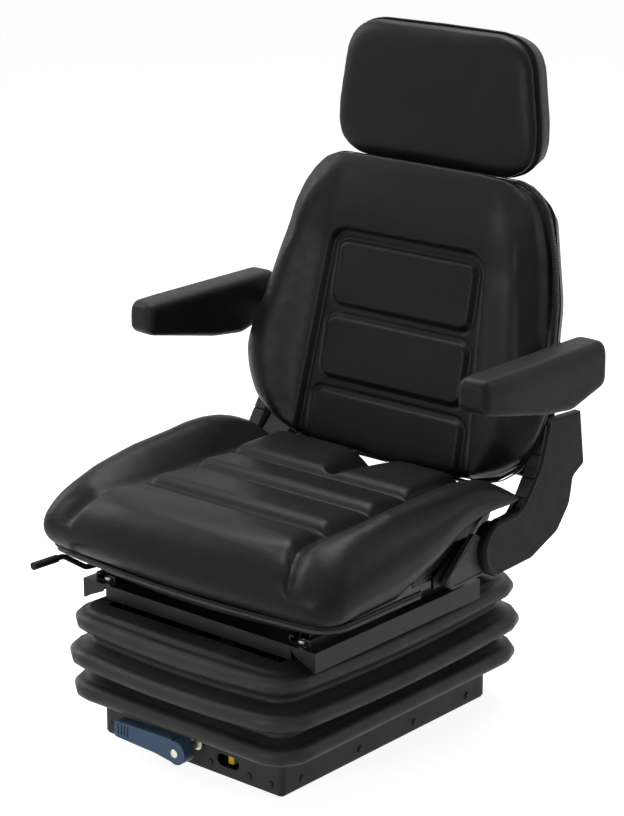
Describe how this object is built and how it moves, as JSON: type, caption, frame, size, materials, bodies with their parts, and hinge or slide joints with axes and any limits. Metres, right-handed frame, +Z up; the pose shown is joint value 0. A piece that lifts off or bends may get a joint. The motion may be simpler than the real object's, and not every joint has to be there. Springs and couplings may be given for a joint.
{
  "type": "tractor suspension seat",
  "caption": "Operator's seat on a scissor suspension inside rubber bellows, with slide rails, bolstered cushion, reclining back, headrest and folding armrests.",
  "frame": {"origin": "middle of the base's underside, at the centre of its bolt holes", "axes": "+Z up, the occupant faces -Y, the occupant's left hand is at +X"},
  "size_m": [0.652, 0.6638, 0.9525],
  "materials": {
    "steel_black": "satin black paint",
    "bellows_rubber": "satin moulded rubber",
    "rivet_plastic": "domed push rivets",
    "plastic_black": "fine grained moulding",
    "plastic_grey": "ribbed trim",
    "roller_plastic": "turned nylon",
    "zinc": "zinc plated",
    "chrome": "hard chrome",
    "spring_steel": "phosphated",
    "mark_yellow": "bright marker",
    "handle_blue": "blue moulding",
    "grip_plastic": "grip sleeve",
    "lever_grey": "mid grey moulding",
    "leatherette": "grained vinyl",
    "zip_plastic": "toothed zip",
    "armrest_foam": "skinned foam"
  },
  "bodies": {
    "base": {"base_tray": "steel_black", "bellows": "bellows_rubber", "skirt_rivets": "rivet_plastic", "channel_stops": "steel_black", "spindle_bearing": "plastic_black", "spindle_washer": "zinc", "base_channel_left": "steel_black", "base_channel_right": "steel_black", "damper_bracket_low": "steel_black"},
    "suspension_top": {"upper_frame": "steel_black", "frame_bolts": "zinc", "frame_channel_left": "steel_black", "frame_channel_right": "steel_black", "damper_bracket_high": "steel_black", "slide_rail_lower_left": "steel_black", "slide_rail_lower_right": "steel_black"},
    "arm_outer": {"scissor_outer": "steel_black"},
    "arm_inner": {"scissor_inner": "steel_black"},
    "rollers_high": {"rollers_upper": "roller_plastic"},
    "rollers_low": {"rollers_lower": "roller_plastic"},
    "damper_tube": {"damper_body": "steel_black"},
    "damper_piston": {"damper_rod": "chrome"},
    "spindle": {"adjuster_spindle": "zinc"},
    "carriage": {"spring_carriage": "steel_black", "indicator_bar": "zinc", "indicator_mark": "mark_yellow", "suspension_spring_left": "spring_steel", "suspension_spring_right": "spring_steel"},
    "handle": {"weight_handle": "handle_blue"},
    "seat": {"slide_rail_upper_left": "steel_black", "slide_rail_upper_right": "steel_black", "seat_pan": "steel_black", "seat_cushion": "leatherette", "cushion_zip": "zip_plastic", "recliner_plate_left": "steel_black", "recliner_plate_right": "steel_black"},
    "slide_latch": {"slide_lever": "steel_black", "lever_grip": "grip_plastic"},
    "recline_handle": {"recline_lever": "lever_grey"},
    "backrest": {"back_cushion": "leatherette", "back_zip": "zip_plastic", "back_shell": "plastic_black", "back_frame": "steel_black", "recliner_arm_left": "steel_black", "recliner_arm_right": "steel_black", "side_cover_left": "plastic_black", "side_cover_right": "plastic_black", "side_strip_left": "plastic_grey", "side_strip_right": "plastic_grey"},
    "headrest": {"headrest_posts": "chrome", "headrest_cushion": "leatherette", "headrest_shell": "plastic_black"},
    "armrest_left": {"armrest_pad_left": "armrest_foam", "armrest_arm_left": "steel_black"},
    "armrest_right": {"armrest_pad_right": "armrest_foam", "armrest_arm_right": "steel_black"}
  },
  "joints": [
    {"name": "suspension_travel", "type": "slide", "parent": "base", "child": "suspension_top", "axis": [0, 0, 1], "range_m": [-0.08, 0], "stiffness_N_per_m": 6000, "springref_m": 0.06, "deforming": ["bellows", "suspension_spring_left", "suspension_spring_right"]},
    {"name": "arm_outer_swing", "type": "hinge", "parent": "base", "child": "arm_outer", "pos_m": [0, 0.13, 0.019], "axis": [1, 0, 0], "range_deg": [0, 16.1]},
    {"name": "arm_inner_swing", "type": "hinge", "parent": "suspension_top", "child": "arm_inner", "pos_m": [0, 0.13, 0.197], "axis": [-1, 0, 0], "range_deg": [0, 16.1]},
    {"name": "upper_roller_spin", "type": "hinge", "parent": "arm_outer", "child": "rollers_high", "pos_m": [0, -0.13592, 0.197], "axis": [1, 0, 0], "continuous": true},
    {"name": "lower_roller_spin", "type": "hinge", "parent": "arm_inner", "child": "rollers_low", "pos_m": [0, -0.13592, 0.019], "axis": [1, 0, 0], "continuous": true},
    {"name": "damper_swing", "type": "hinge", "parent": "base", "child": "damper_tube", "pos_m": [-0.084, 0.1, 0.024], "axis": [1, 0, 0], "range_deg": [0, 14.7]},
    {"name": "damper_stroke", "type": "slide", "parent": "damper_tube", "child": "damper_piston", "axis": [0, -0.8331, 0.5532], "range_m": [-0.0358, 0]},
    {"name": "spindle_turn", "type": "hinge", "parent": "base", "child": "spindle", "pos_m": [0.014, 0, 0.036], "axis": [0, 1, 0], "range_deg": [-900, 900]},
    {"name": "carriage_travel", "type": "slide", "parent": "base", "child": "carriage", "axis": [0, 1, 0], "range_m": [-0.0101, 0.0101]},
    {"name": "handle_ratchet", "type": "hinge", "parent": "spindle", "child": "handle", "pos_m": [0.014, -0.26, 0.036], "axis": [0, 1, 0], "range_deg": [-10, 3]},
    {"name": "seat_slide", "type": "slide", "parent": "suspension_top", "child": "seat", "axis": [0, -1, 0], "range_m": [-0.075, 0.075]},
    {"name": "slide_lever_swing", "type": "hinge", "parent": "seat", "child": "slide_latch", "pos_m": [-0.203, 0.02, 0.233], "axis": [0, 0, -1], "range_deg": [0, 4], "stiffness_Nm_per_rad": 20, "springref_deg": -5.73},
    {"name": "backrest_recline", "type": "hinge", "parent": "seat", "child": "backrest", "pos_m": [0, 0.132, 0.279], "axis": [-1, 0, 0], "range_deg": [-5, 25]},
    {"name": "recline_lever_lift", "type": "hinge", "parent": "seat", "child": "recline_handle", "pos_m": [0, 0.132, 0.279], "axis": [-1, 0, 0], "range_deg": [0, 15], "stiffness_Nm_per_rad": 6, "springref_deg": -11.46},
    {"name": "headrest_height", "type": "slide", "parent": "backrest", "child": "headrest", "axis": [0, 0.2079, 0.9781], "range_m": [0, 0.06]},
    {"name": "armrest_left_fold", "type": "hinge", "parent": "backrest", "child": "armrest_left", "pos_m": [0.27, 0.262, 0.515], "axis": [-1, 0, 0], "range_deg": [0, 85]},
    {"name": "armrest_right_fold", "type": "hinge", "parent": "backrest", "child": "armrest_right", "pos_m": [-0.27, 0.262, 0.515], "axis": [-1, 0, 0], "range_deg": [0, 85]}
  ],
  "couplings": [
    {"joint": "arm_outer_swing", "follows": "suspension_travel", "rad_per_m": -3.4825},
    {"joint": "arm_inner_swing", "follows": "suspension_travel", "rad_per_m": -3.4825},
    {"joint": "damper_swing", "follows": "suspension_travel", "rad_per_m": -3.185},
    {"joint": "damper_stroke", "follows": "suspension_travel", "ratio": 0.4465},
    {"joint": "carriage_travel", "follows": "spindle_turn", "m_per_rad": 0.00063662}
  ]
}
